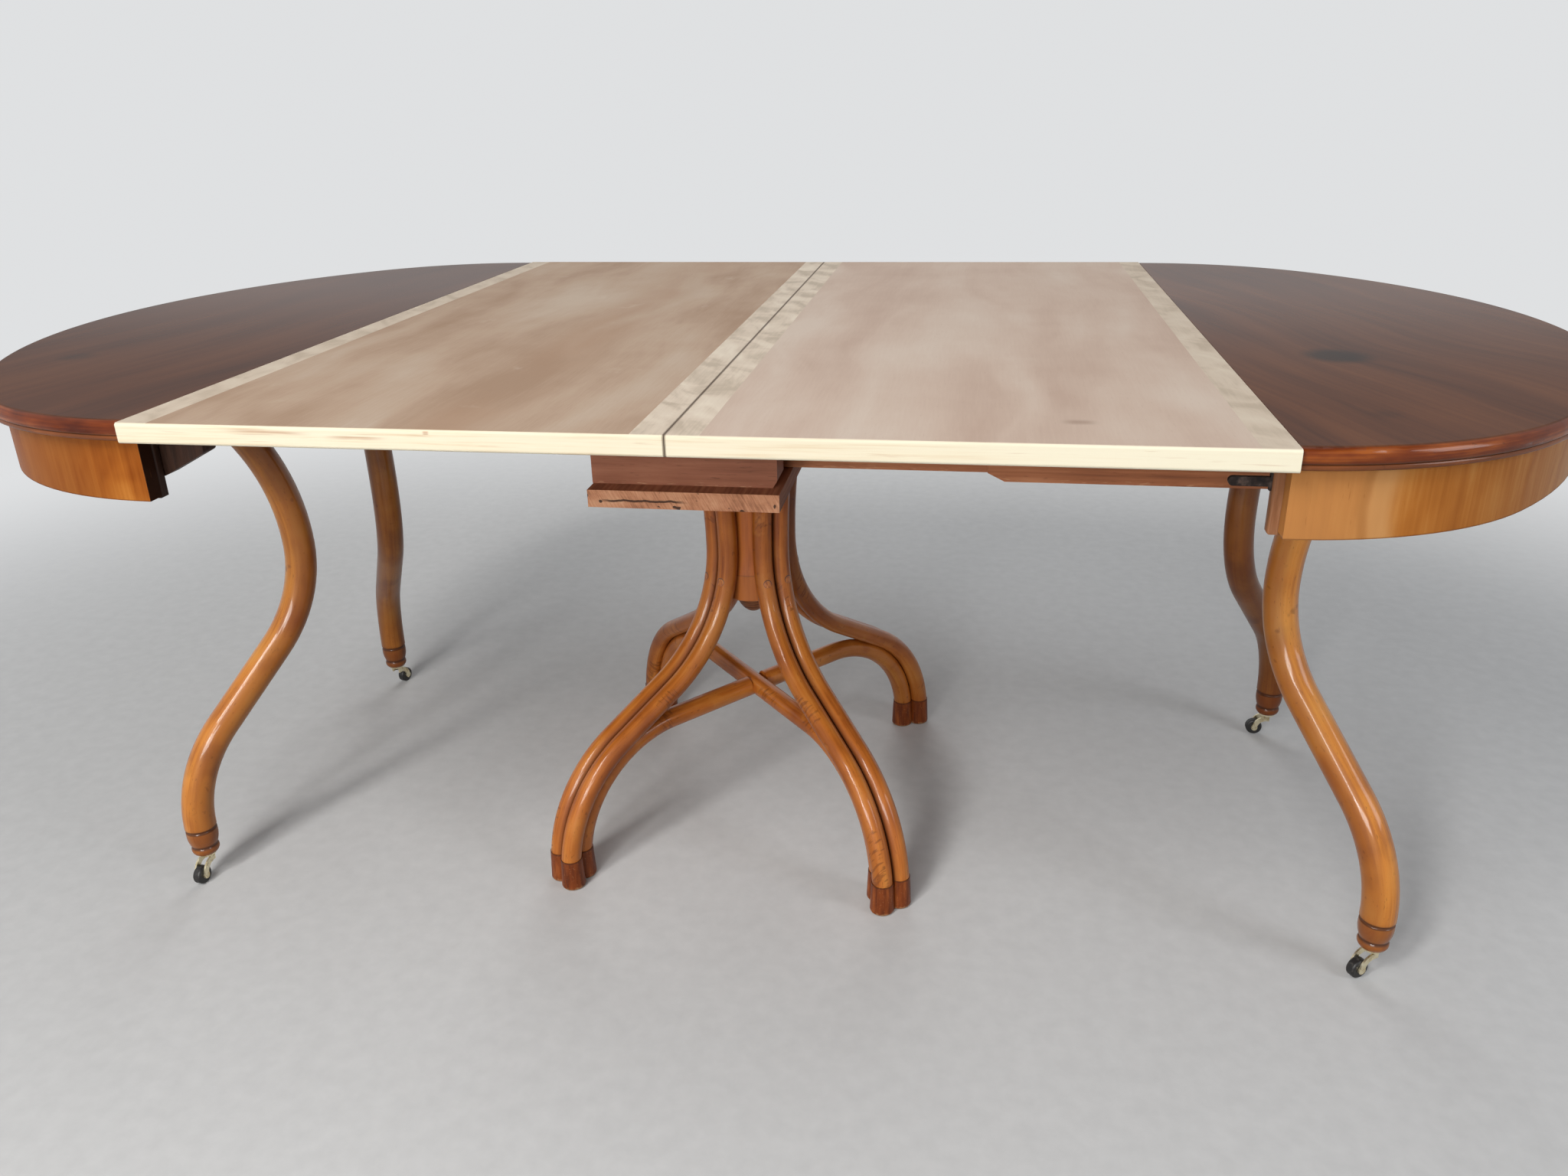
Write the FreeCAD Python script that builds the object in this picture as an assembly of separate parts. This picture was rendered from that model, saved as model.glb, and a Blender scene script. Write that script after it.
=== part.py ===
import FreeCAD, Part
import math
import os

# Extending table of bent round wood: two half-oval ends on slide rails, a fixed pedestal, two loose leaves.
# Millimetres. X runs along the extension, Y from front to back and Z up.
# The origin is on the floor under the joint between the two leaves.

# Whole table
table_length = 1942  # with the leaves in
table_height = 745
top_thickness = 21
joint_gap = 0.6  # between boards of the top that meet edge to edge
seat_gap = 0.2  # between pieces that rest on each other and come apart
slide_gap = 0.5  # beside and under a rail that slides
glue_gap = 0.2  # between round pieces that are glued or screwed together
overrun = 6  # how far a cut reaches past the piece

# Loose leaves
leaf_overhang = 6  # past the width of the ends, in front and at the back
leaf_band_width = 32
leaf_edge_round = 3

# Half-oval ends: a tip arc between two shoulder arcs
end_width = 1150
end_depth = 430
shoulder_radius = 335
rim_width = 40
rim_round = 7
rim_nose_height = 12
rim_nose_inset = 2
rim_bead_radius = 3
rim_bead_inset = 5
apron_inset = 20
apron_thickness = 18
apron_height = 67

# Upright battens inside the two ends of each apron
batten_length = 18  # behind the straight edge of the end
batten_thickness = 11
batten_height = 69.5
batten_round = 3
right_batten_proud = 9.5  # past the straight edge, under the leaf
left_batten_proud = 0.5

# Iron catch on the right end and the tapered block for it on the left end
catch_reach = 37
catch_bar_height = 8.5
catch_bar_thickness = 5
catch_drop = 22
catch_plate_thickness = 2
catch_plate_height = 16
block_reach = 48
block_thickness = 22
block_root_drop = 49
block_tip_drop = 24
block_top_drop = 4
block_round = 5

# Slide rails, in lanes from the outside in
rail_face = 300
rail_width = 33.5
rail_top_drop = 1
rail_chamfer_length = 19
rail_chamfer_height = 9.5
end_rail_lap = 251  # under the leaf
rail_leg_gap = 9
runner_start = -65
runner_setback = 6  # from the straight edge of the end
fixed_rail_start = -340
fixed_rail_stop = 260
end_travel = 150
stop_gap = 0.5
tongue_length = 150
tongue_setback = 8
tongue_root = 14
tongue_tip = 22
tongue_depth = 10
tongue_clearance = 0.4

# Head of the pedestal
pedestal_x = -39
pedestal_y = 18
plank_left = 109
plank_right = 107
plank_overhang = 25  # past the cheeks
plank_thickness = 20
plank_top_drop = 102
cheek_left = 110
cheek_right = 101
cheek_thickness = 44.5
cheek_top_drop = 0.5
cheek_chamfer_length = 5
cheek_chamfer_height = 8

# Pedestal legs: pairs of bent rods in four upright planes
leg_angle = 49.5  # degrees from X to a leg's plane
rod_radius = 13.8
foot_radius = 350
foot_splay = math.radians(7)
leg_lean = math.radians(60.5)
foot_bend_radius = 195
head_bend_radius = 211
flare_sweep = 22
waist_radius = 54.5
shoe_height = 45
shoe_wall = 1
shoe_spread = 2
shoe_round = 4

# Crossing stretcher arches
arch_rod_radius = 14.5
arch_gap = 0.8
half_lap_gap = 0.1

# Turned column with a knob under it
column_bend_share = 1.2
lip_bottom = 345
lip_height = 40
lip_round = 2
knob_radius = 25
knob_height = 30
knob_tip_radius = 8

# Plugs over the screws of the rods
plug_radius = 6
plug_depth = 6
plug_proud = 0.3
plug_clearance = 0.05
plug_height = 380

# Legs of the ends: one bent rod each with a turned foot
end_leg_radius = 21
end_leg_depth_share = 0.565  # of the depth of the end
end_leg_width_share = 0.5235  # of half its width
end_leg_angle = 54  # degrees from X to a leg's plane
end_leg_sweep = 210
end_leg_bend_share = 0.907  # of the largest bends that the sweep and the rise leave room for
end_leg_head_rise = 275
end_leg_head_sweep = 150
turned_foot_height = 43
foot_bottom_radius = 13.5
foot_flange_radius = 18.2
foot_flange_level = 6
foot_notch_radius = 16.8
foot_notch_level = 13
foot_ring_radius = 20.6
foot_ring_level = 27
foot_groove_height = 5
foot_groove_depth = 1.8

# Casters
wheel_radius = 13
wheel_width = 12
wheel_round = 3
wheel_gap = 0.3
axle_radius = 2
axle_clearance = 0.05
caster_trail = 18
fork_plate_radius = 12
fork_plate_thickness = 3
fork_arm_thickness = 2.5
fork_arm_width = 8
fork_neck = 5
fork_eye_radius = 5
stem_radius = 4
stem_length = 28
stem_clearance = 0.05

# Levels and edges that several pieces share
underside = table_height - top_thickness
leaf_width = end_width + 2 * leaf_overhang
leaf_start = joint_gap / 2
end_edge = table_length / 2 - end_depth
leaf_stop = end_edge - joint_gap
plank_top = underside - plank_top_drop
plank_bottom = plank_top - plank_thickness
lane_pitch = rail_width + slide_gap
rail_middle = (plank_top + underside) / 2
apron_curve = shoulder_radius - apron_inset - apron_thickness
apron_inside = end_width / 2 - apron_inset - apron_thickness
batten_front = apron_curve - math.sqrt(apron_curve**2 - batten_length**2) + glue_gap - apron_inside
batten_back = batten_front + batten_thickness
end_rail_start = end_edge - end_rail_lap
runner_stop = end_edge - runner_setback
cheek_front = rail_face + slide_gap + cheek_thickness
plank_half_width = cheek_front + plank_overhang
end_leg_x = end_edge + end_leg_depth_share * end_depth
end_leg_y = end_leg_width_share * end_width / 2
pair_offset = rod_radius + glue_gap / 2
step_travel = end_travel / 2
stub = rod_radius + overrun
fork_height = wheel_radius + caster_trail + fork_arm_width / 2 + fork_neck
leg_reach_x = end_leg_sweep * math.cos(math.radians(end_leg_angle))
end_rail_stop = end_leg_x - leg_reach_x - end_leg_radius - rail_leg_gap

# The half oval: the tip arc's radius follows from the width, the depth and the shoulders
shoulder_y = end_width / 2 - shoulder_radius
tip_inset = (shoulder_y**2 - (end_depth - shoulder_radius) ** 2) / (2 * (end_depth - shoulder_radius))
tip_radius = end_depth + tip_inset
tip_turn = math.degrees(math.atan2(shoulder_y, tip_inset))

# The pedestal rods: the straight run between the bends follows from the foot and the waist
foot_bend_sweep = foot_bend_radius * (math.cos(foot_splay) - math.cos(leg_lean))
head_bend_sweep = head_bend_radius * (1 - math.cos(leg_lean))
leg_run = (foot_radius - waist_radius - foot_bend_sweep - head_bend_sweep) / math.sin(leg_lean)
waist_height = (
    shoe_height
    + foot_bend_radius * (math.sin(leg_lean) - math.sin(foot_splay))
    + leg_run * math.cos(leg_lean)
    + head_bend_radius * math.sin(leg_lean)
)
flare_rise = plank_bottom - waist_height
flare_radius = (flare_rise**2 + flare_sweep**2) / (2 * flare_sweep)
flare_turn = 2 * math.atan2(flare_sweep, flare_rise)
column_radius = math.hypot(waist_radius, pair_offset) - rod_radius - glue_gap
arch_spread = math.sqrt((rod_radius + arch_rod_radius + arch_gap) ** 2 - pair_offset**2)
arch_foot = foot_radius - arch_spread / math.cos(foot_splay)
arch_bend = foot_bend_radius - arch_spread
bend_centre = foot_radius - foot_bend_radius * math.cos(foot_splay)
bend_level = shoe_height - foot_bend_radius * math.sin(foot_splay)
arch_crown = bend_level + arch_bend
arch_skew = 90 - 2 * leg_angle

UP = FreeCAD.Vector(0, 0, 1)
ORIGIN = FreeCAD.Vector(0, 0, 0)


def point(x, y, z):
    return FreeCAD.Vector(x, y, z)


def block(xs, ys, zs):
    """A box between two X, two Y and two Z values."""
    corner = point(xs[0], ys[0], zs[0])
    return Part.makeBox(xs[1] - xs[0], ys[1] - ys[0], zs[1] - zs[0], corner)


def prism(outline, y_start, y_stop):
    """A solid whose (x, z) outline runs from one Y to another."""
    wire = Part.makePolygon([point(x, y_start, z) for x, z in outline + outline[:1]])
    return Part.Face(wire).extrude(point(0, y_stop - y_start, 0))


def turned(edges):
    """A solid turned about Z from edges in the XZ plane that start and end on the axis."""
    wire = Part.Wire(edges)
    axis_line = Part.makeLine(wire.OrderedVertexes[-1].Point, wire.OrderedVertexes[0].Point)
    return Part.Face(Part.Wire(edges + [axis_line])).revolve(ORIGIN, UP, 360)


def lines(points):
    """Straight edges through (x, z) points in the XZ plane."""
    corners = [point(x, 0, z) for x, z in points]
    return [Part.makeLine(a, b) for a, b in zip(corners, corners[1:])]


def easing(start, stop):
    """An arc in the XZ plane that leaves its start upright and ends at another (x, z) point."""
    across = stop[0] - start[0]
    rise = stop[1] - start[1]
    radius = (across**2 + rise**2) / (2 * across)
    middle_turn = math.asin(rise / radius) / 2
    middle = point(start[0] + radius * (1 - math.cos(middle_turn)), 0, start[1] + radius * math.sin(middle_turn))
    return Part.Arc(point(start[0], 0, start[1]), middle, point(stop[0], 0, stop[1])).toShape()


def bent_rod(radius, start, heading, moves):
    """A round rod in the XZ plane along straight runs (length, 0) and tangent arcs (radius, left turn)."""
    across, height = start
    ring = Part.makeCircle(radius, point(across, 0, height), point(math.cos(heading), 0, math.sin(heading)))
    edges = []
    for size, turn in moves:
        here = point(across, 0, height)
        if turn == 0:
            there = here + point(size * math.cos(heading), 0, size * math.sin(heading))
            edges.append(Part.makeLine(here, there))
        else:
            side = math.copysign(size, turn)
            centre = here + point(-side * math.sin(heading), 0, side * math.cos(heading))
            halfway = heading + turn / 2
            heading += turn
            middle = centre + point(side * math.sin(halfway), 0, -side * math.cos(halfway))
            there = centre + point(side * math.sin(heading), 0, -side * math.cos(heading))
            edges.append(Part.Arc(here, middle, there).toShape())
        across, height = there.x, there.z
    return Part.Wire(edges).makePipeShell([Part.Wire(ring)], True, False)


def placed(shape, angle, x, y):
    """A copy turned about Z by an angle in degrees and moved to a place on the floor plan."""
    copy = shape.copy()
    copy.rotate(ORIGIN, UP, angle)
    copy.translate(point(x, y, 0))
    return copy


def to_back(shape):
    return shape.mirror(ORIGIN, point(0, 1, 0))


def to_left(shape):
    return shape.mirror(ORIGIN, point(1, 0, 0))


def between_levels(shape, low, high):
    """The stretch of a shape between two heights, cut flat."""
    box = shape.BoundBox
    xs = (box.XMin - overrun, box.XMax + overrun)
    ys = (box.YMin - overrun, box.YMax + overrun)
    return shape.common(block(xs, ys, (low, high)))


# Loose leaves


def leaf_board(x_start, x_stop):
    """One board of a leaf, with its front and back edges eased."""
    half = leaf_width / 2
    board = block((x_start, x_stop), (-half, half), (underside + seat_gap, table_height))
    long_edges = []
    for edge in board.Edges:
        ends = edge.Vertexes
        along_x = abs(ends[0].X - ends[1].X) > seat_gap
        if along_x:
            long_edges.append(edge)
    return board.makeFillet(leaf_edge_round, long_edges)


def leaf_pieces():
    """The panel and two joining bands of the right leaf."""
    return {
        "leaf_band_inner": leaf_board(leaf_start, leaf_start + leaf_band_width),
        "leaf_panel": leaf_board(leaf_start + leaf_band_width, leaf_stop - leaf_band_width),
        "leaf_band_outer": leaf_board(leaf_stop - leaf_band_width, leaf_stop),
    }


# Half-oval ends


def oval_arcs(inset):
    """Centre, radius and angles of the three arcs of the right end's outline, set in by a distance."""
    return [
        (point(end_edge, -shoulder_y, 0), shoulder_radius - inset, -90, -tip_turn),
        (point(end_edge - tip_inset, 0, 0), tip_radius - inset, -tip_turn, tip_turn),
        (point(end_edge, shoulder_y, 0), shoulder_radius - inset, tip_turn, 90),
    ]


def oval_face(inset, level):
    """The half oval as a flat face at a height."""
    edges = []
    for centre, radius, start, stop in oval_arcs(inset):
        ends = []
        for angle in (start, (start + stop) / 2, stop):
            turn = math.radians(angle)
            ends.append(centre + point(radius * math.cos(turn), radius * math.sin(turn), level))
        edges.append(Part.Arc(*ends).toShape())
    edges.append(Part.makeLine(edges[-1].Vertexes[-1].Point, edges[0].Vertexes[0].Point))
    return Part.Face(Part.Wire(edges))


def end_top():
    return oval_face(rim_width, underside).extrude(point(0, 0, top_thickness))


def rim_profile(outer_x, y):
    """Section of the moulded rim: a bead below, a step and a rounded nose, out to the given X."""

    def at(inset, height):
        return point(outer_x - inset, y, underside + height)

    bead_top = 2 * rim_bead_radius
    bead = Part.Arc(
        at(rim_bead_inset, 0),
        at(rim_bead_inset - rim_bead_radius, rim_bead_radius),
        at(rim_bead_inset, bead_top),
    )
    nose = Part.Arc(at(rim_nose_inset, bead_top), at(0, rim_nose_height), at(rim_round, top_thickness))
    edges = [
        Part.makeLine(at(rim_width, 0), at(rim_bead_inset, 0)),
        bead.toShape(),
        Part.makeLine(at(rim_bead_inset, bead_top), at(rim_nose_inset, bead_top)),
        nose.toShape(),
        Part.makeLine(at(rim_round, top_thickness), at(rim_width, top_thickness)),
        Part.makeLine(at(rim_width, top_thickness), at(rim_width, 0)),
    ]
    return Part.Face(Part.Wire(edges))


def end_rim():
    """The moulded rim: its section turned about the centre of each arc of the outline."""
    stretches = []
    for centre, radius, start, stop in oval_arcs(0):
        section = rim_profile(centre.x + radius, centre.y)
        section.rotate(centre, UP, start)
        stretches.append(section.revolve(centre, UP, stop - start))
    return stretches[0].fuse(stretches[1:]).removeSplitter()


def end_apron():
    outer = oval_face(apron_inset, underside - apron_height)
    inner = oval_face(apron_inset + apron_thickness, underside - apron_height)
    return outer.cut(inner).Faces[0].extrude(point(0, 0, apron_height))


def batten(proud):
    """The front upright batten of the right end, against the inside of the apron, its free end eased."""
    face = end_edge - proud
    low = underside - batten_height
    post = block((face, end_edge + batten_length), (batten_front, batten_back), (low, underside))
    eased = []
    for edge in post.Edges:
        middle = edge.CenterOfMass
        if abs(middle.x - face) < seat_gap and underside - middle.z > seat_gap:
            eased.append(edge)
    return post.makeFillet(batten_round, eased)


def iron_catch():
    """A flat bar with a round tip on a foot plate, on the free end of the right front batten."""
    batten_face = end_edge - right_batten_proud
    bar_low = underside - catch_drop - catch_bar_height / 2
    bar_high = underside - catch_drop + catch_bar_height / 2
    bar_front = (batten_front + batten_back - catch_bar_thickness) / 2
    tip_x = batten_face - catch_reach + catch_bar_height / 2
    bar = block((tip_x, batten_face), (bar_front, bar_front + catch_bar_thickness), (bar_low, bar_high))
    tip = Part.makeCylinder(
        catch_bar_height / 2,
        catch_bar_thickness,
        point(tip_x, bar_front, underside - catch_drop),
        point(0, 1, 0),
    )
    plate_low = underside - catch_drop - catch_plate_height / 2
    plate = block(
        (batten_face - catch_plate_thickness, batten_face),
        (batten_front + batten_round, batten_back - batten_round),
        (plate_low, plate_low + catch_plate_height),
    )
    return bar.fuse([tip, plate]).removeSplitter()


def catch_block():
    """A tapered wooden block behind the left front batten, that reaches under the leaf to a round tip."""
    root = -end_edge - batten_length
    tip = -end_edge + block_reach
    tip_low = underside - block_tip_drop
    outline = [
        (root, underside - block_root_drop),
        (root, underside - block_top_drop),
        (tip, underside - block_top_drop),
        (tip, tip_low),
        (-end_edge, underside - block_root_drop),
    ]
    body = prism(outline, batten_back, batten_back + block_thickness)
    nose = point(tip, batten_back + block_thickness / 2, tip_low)
    rounded = [edge for edge in body.Edges if edge.CenterOfMass.isEqual(nose, seat_gap)]
    return body.makeFillet(block_round, rounded)


# Slide rails


def dovetail(xs, front, grow):
    """A dovetail bar along X whose root is on a rail's front face, grown all round by a clearance."""
    root = tongue_root / 2 + grow
    tip = tongue_tip / 2 + grow
    depth = tongue_depth + grow
    corners = [
        point(xs[0], front, rail_middle - root),
        point(xs[0], front, rail_middle + root),
        point(xs[0], front - depth, rail_middle + tip),
        point(xs[0], front - depth, rail_middle - tip),
    ]
    wire = Part.makePolygon(corners + corners[:1])
    return Part.Face(wire).extrude(point(xs[1] - xs[0], 0, 0))


def lane_front(lane):
    """Y of the front face of a front rail: lane 0 is the outermost."""
    return lane * lane_pitch - rail_face


def tongue_span(rail_stop):
    return (rail_stop - tongue_setback - tongue_length, rail_stop - tongue_setback)


def rail(lane, xs, levels, inner_stop):
    """A front rail with a tongue towards the lane outside it and a stopped groove for the lane inside it."""
    front = lane_front(lane)
    low, high = levels
    outline = [
        (xs[0] + rail_chamfer_length, low),
        (xs[0], low + rail_chamfer_height),
        (xs[0], high),
        (xs[1], high),
        (xs[1], low + rail_chamfer_height),
        (xs[1] - rail_chamfer_length, low),
    ]
    bar = prism(outline, front, front + rail_width)
    if lane > 0:
        bar = bar.fuse(dovetail(tongue_span(xs[1]), front, 0)).removeSplitter()
    if inner_stop is not None:
        groove_start = tongue_span(inner_stop)[0] - step_travel - stop_gap
        groove = dovetail((groove_start, xs[1] + overrun), lane_front(lane + 1), tongue_clearance)
        bar = bar.cut(groove)
    return bar


def front_rails():
    """The five front rails, from the outside in; each slides in the one outside it."""
    sliding = (plank_top + slide_gap, underside - rail_top_drop)
    resting = (plank_top, underside - rail_top_drop)
    carrying = (plank_top + slide_gap, underside)
    return {
        "right_end_rail": rail(0, (end_rail_start, end_rail_stop), carrying, runner_stop),
        "right_runner_rail": rail(1, (runner_start, runner_stop), sliding, fixed_rail_stop),
        "fixed_rail": rail(2, (fixed_rail_start, fixed_rail_stop), resting, -runner_start),
        "left_runner_rail": rail(3, (-runner_stop, -runner_start), sliding, -end_rail_start),
        "left_end_rail": rail(4, (-end_rail_stop, -end_rail_start), carrying, None),
    }


# Pedestal


def bearer_plank():
    xs = (pedestal_x - plank_left, pedestal_x + plank_right)
    return block(xs, (-plank_half_width, plank_half_width), (plank_bottom, plank_top))


def bearer_cheek():
    """The front cheek, with a chamfer at the lower right corner of its ends."""
    left = pedestal_x - cheek_left
    right = pedestal_x + cheek_right
    high = underside - cheek_top_drop
    outline = [
        (left, plank_top),
        (left, high),
        (right, high),
        (right, plank_top + cheek_chamfer_height),
        (right - cheek_chamfer_length, plank_top),
    ]
    return prism(outline, -cheek_front, cheek_thickness - cheek_front)


def rod_body():
    """One pedestal rod in its leg's plane, from the shoe up to the plank."""
    heading = math.pi / 2 + foot_splay
    start = (foot_radius + stub * math.sin(foot_splay), shoe_height - stub * math.cos(foot_splay))
    moves = [
        (stub, 0),
        (foot_bend_radius, leg_lean - foot_splay),
        (leg_run, 0),
        (head_bend_radius, -leg_lean),
        (flare_radius, -flare_turn),
        (stub, 0),
    ]
    return between_levels(bent_rod(rod_radius, start, heading, moves), shoe_height, plank_bottom)


def plug_seat(side):
    """Place on the rod's centre line, way out through its face and way along it, for one rod of a pair."""
    lean = math.asin((waist_height - plug_height) / head_bend_radius)
    across = waist_radius + head_bend_radius * (1 - math.cos(lean))
    swing = math.atan2(side * pair_offset, across)
    along = point(-math.sin(lean), 0, math.cos(lean))
    out = point(math.cos(lean) * math.cos(swing), math.sin(swing), math.sin(lean) * math.cos(swing))
    return point(across, side * pair_offset, plug_height), out, along


def plug_bar(side, radius):
    """A round bar from the bottom of the plug's hole out past the rod's face."""
    centre, out, _ = plug_seat(side)
    return Part.makeCylinder(radius, plug_depth + overrun, centre + out * (rod_radius - plug_depth), out)


def leg_rod(body, side):
    rod = placed(body, 0, 0, side * pair_offset)
    return rod.cut(plug_bar(side, plug_radius + plug_clearance))


def rod_plug(side):
    """A plug whose face follows the rod's round."""
    centre, _, along = plug_seat(side)
    skin = Part.makeCylinder(
        rod_radius + plug_proud, 2 * head_bend_radius, centre - along * head_bend_radius, along
    )
    return plug_bar(side, plug_radius).common(skin)


def arch_rod():
    """One stretcher arch in the plane of two opposite legs, between their shoes."""
    turn = math.pi / 2 - foot_splay
    start = (
        bend_centre + arch_bend * math.cos(foot_splay) + stub * math.sin(foot_splay),
        bend_level + arch_bend * math.sin(foot_splay) - stub * math.cos(foot_splay),
    )
    moves = [(stub, 0), (arch_bend, turn), (2 * bend_centre, 0), (arch_bend, turn), (stub, 0)]
    body = bent_rod(arch_rod_radius, start, math.pi / 2 + foot_splay, moves)
    return between_levels(body, shoe_height, arch_crown + arch_rod_radius + overrun)


def half_lap(low, high, skew):
    """The stretch that is taken out of one arch where the other crosses it, skewed from square."""
    half = arch_rod_radius + half_lap_gap
    side = 2 * arch_rod_radius + overrun
    return placed(block((-half, half), (-side, side), (low, high)), skew, 0, 0)


def lower_arch():
    top = arch_crown + arch_rod_radius + overrun
    return arch_rod().cut(half_lap(arch_crown - half_lap_gap / 2, top, arch_skew))


def upper_arch():
    bottom = arch_crown - arch_rod_radius - overrun
    return arch_rod().cut(half_lap(bottom, arch_crown + half_lap_gap / 2, -arch_skew))


def shoe_lobe(radius, x, y):
    """A round stub, a little wider at the floor, with an eased lower edge."""
    lobe = Part.makeCone(radius + shoe_spread, radius, shoe_height)
    lobe = lobe.makeFillet(shoe_round, [e for e in lobe.Edges if e.BoundBox.ZMax < shoe_round])
    return placed(lobe, 0, x, y)


def leg_shoe():
    """A trefoil shoe under the two leg rods and the arch, in its leg's plane."""
    pair_radius = rod_radius + shoe_wall
    lobes = [
        shoe_lobe(pair_radius, foot_radius, -pair_offset),
        shoe_lobe(pair_radius, foot_radius, pair_offset),
        shoe_lobe(arch_rod_radius + shoe_wall, arch_foot, 0),
    ]
    corners = [
        point(foot_radius, -pair_offset, 0),
        point(foot_radius, pair_offset, 0),
        point(arch_foot, 0, 0),
    ]
    core = Part.Face(Part.makePolygon(corners + corners[:1])).extrude(point(0, 0, shoe_height))
    return core.fuse(lobes).removeSplitter()


def pedestal_column():
    """A turned column that widens with the bend of the rods to a lip, with a half-round knob below."""
    column_bend = column_bend_share * head_bend_radius
    lip_top = lip_bottom + lip_height
    drop = waist_height - lip_top
    lip_radius = column_radius + column_bend - math.sqrt(column_bend**2 - drop**2)
    knob_bottom = lip_bottom - knob_height
    edges = lines([(0, plank_bottom), (column_radius, plank_bottom), (column_radius, waist_height)])
    edges.append(easing((column_radius, waist_height), (lip_radius, lip_top)))
    edges += lines(
        [
            (lip_radius, lip_top),
            (lip_radius, lip_bottom + lip_round),
            (lip_radius - lip_round, lip_bottom),
            (knob_radius, lip_bottom),
        ]
    )
    edges.append(easing((knob_radius, lip_bottom), (knob_tip_radius, knob_bottom)))
    edges += lines([(knob_tip_radius, knob_bottom), (0, knob_bottom)])
    return turned(edges)


# Legs and casters of the ends


def turned_foot(low, high):
    """The foot of an end leg: from below a flange, a notch, a swelling ring and a groove."""

    def at(radius, level):
        return point(radius, 0, low + level)

    groove_level = high - low - foot_groove_height
    groove_middle = high - low - foot_groove_height / 2
    notch = at(foot_notch_radius, foot_notch_level)
    groove_edge = at(foot_ring_radius, groove_level)
    flange = Part.Arc(at(foot_bottom_radius, 0), at(foot_flange_radius, foot_flange_level), notch)
    ring = Part.Arc(notch, at(foot_ring_radius, foot_ring_level), groove_edge)
    groove = Part.Arc(
        groove_edge,
        at(end_leg_radius - foot_groove_depth, groove_middle),
        point(end_leg_radius, 0, high),
    )
    edges = lines([(0, low), (foot_bottom_radius, low)])
    edges += [flange.toShape(), ring.toShape(), groove.toShape()]
    edges += lines([(end_leg_radius, high), (0, high)])
    return turned(edges)


def end_leg():
    """A leg of an end in its own plane: out at the foot, in at the waist and out again under the top."""
    low = fork_height + seat_gap
    high = low + turned_foot_height
    rise = underside - end_leg_head_rise - high
    reach = math.hypot(rise, end_leg_sweep)
    bends = end_leg_bend_share * reach**2 / (2 * end_leg_sweep)
    run = reach * math.sqrt(1 - end_leg_bend_share)
    lean = math.atan2(bends, run) - math.atan2(bends - end_leg_sweep, rise)
    head_radius = (end_leg_head_rise**2 + end_leg_head_sweep**2) / (2 * end_leg_head_sweep)
    head_turn = 2 * math.atan2(end_leg_head_sweep, end_leg_head_rise)
    moves = [
        (bends / 2, lean),
        (run, 0),
        (bends / 2, -lean),
        (head_radius, -head_turn),
        (end_leg_radius * math.tan(head_turn) + overrun, 0),
    ]
    rod = between_levels(bent_rod(end_leg_radius, (0, high), math.pi / 2, moves), high, underside)
    hole_depth = stem_length + seat_gap
    hole = Part.makeCylinder(stem_radius + stem_clearance, hole_depth + overrun, point(0, 0, low - overrun))
    return rod.fuse(turned_foot(low, high)).removeSplitter().cut(hole)


def fork_arm(start, stop):
    """One curved arm of a fork: a neck under the plate, a quarter ring out and down, and an eye at the axle."""
    half = fork_arm_width / 2
    neck_low = wheel_radius + caster_trail
    centre = point(0, start, wheel_radius)
    across = point(0, 1, 0)
    outer = Part.makeCylinder(caster_trail + half, stop - start, centre, across)
    inner = Part.makeCylinder(caster_trail - half, stop - start, centre, across)
    quarter = block((0, caster_trail + fork_arm_width), (start, stop), (wheel_radius, fork_height))
    neck = block((-half, half), (start, stop), (neck_low - half, fork_height - fork_plate_thickness))
    eye = Part.makeCylinder(fork_eye_radius, stop - start, point(caster_trail, start, wheel_radius), across)
    return outer.cut(inner).common(quarter).fuse([neck, eye])


def caster_fork():
    """A caster's plate and stem with two curved arms and the axle, trailing towards +X."""
    plate_low = fork_height - fork_plate_thickness
    plate = Part.makeCylinder(fork_plate_radius, fork_plate_thickness, point(0, 0, plate_low))
    stem = Part.makeCylinder(stem_radius, stem_length, point(0, 0, fork_height))
    inner = wheel_width / 2 + wheel_gap
    outer = inner + fork_arm_thickness
    axle_start = point(caster_trail, -outer, wheel_radius)
    axle = Part.makeCylinder(axle_radius, 2 * outer, axle_start, point(0, 1, 0))
    return plate.fuse([stem, axle, fork_arm(-outer, -inner), fork_arm(inner, outer)]).removeSplitter()


def caster_wheel():
    """A bored wheel with eased edges, on the fork's axle."""
    start = point(caster_trail, -wheel_width / 2, wheel_radius)
    wheel = Part.makeCylinder(wheel_radius, wheel_width, start, point(0, 1, 0))
    rims = [e for e in wheel.Edges if len(e.Vertexes) == 1]
    wheel = wheel.makeFillet(wheel_round, rims)
    bore_start = start - point(0, overrun, 0)
    bore_length = wheel_width + 2 * overrun
    return wheel.cut(
        Part.makeCylinder(axle_radius + axle_clearance, bore_length, bore_start, point(0, 1, 0))
    )


# The whole table

parts = {}

for name, board in leaf_pieces().items():
    parts["right_" + name] = board
    parts["left_" + name] = to_left(board)

for name, make in (("top", end_top), ("edge", end_rim), ("apron", end_apron)):
    shape = make()
    parts["right_end_" + name] = shape
    parts["left_end_" + name] = to_left(shape)

right_batten = batten(right_batten_proud)
left_batten = to_left(batten(left_batten_proud))
parts["right_end_batten_front"] = right_batten
parts["right_end_batten_back"] = to_back(right_batten)
parts["left_end_batten_front"] = left_batten
parts["left_end_batten_back"] = to_back(left_batten)
parts["right_catch"] = iron_catch()
parts["left_catch"] = catch_block()

for name, shape in front_rails().items():
    parts[name + "_front"] = shape
    parts[name + "_back"] = to_back(shape)

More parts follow.
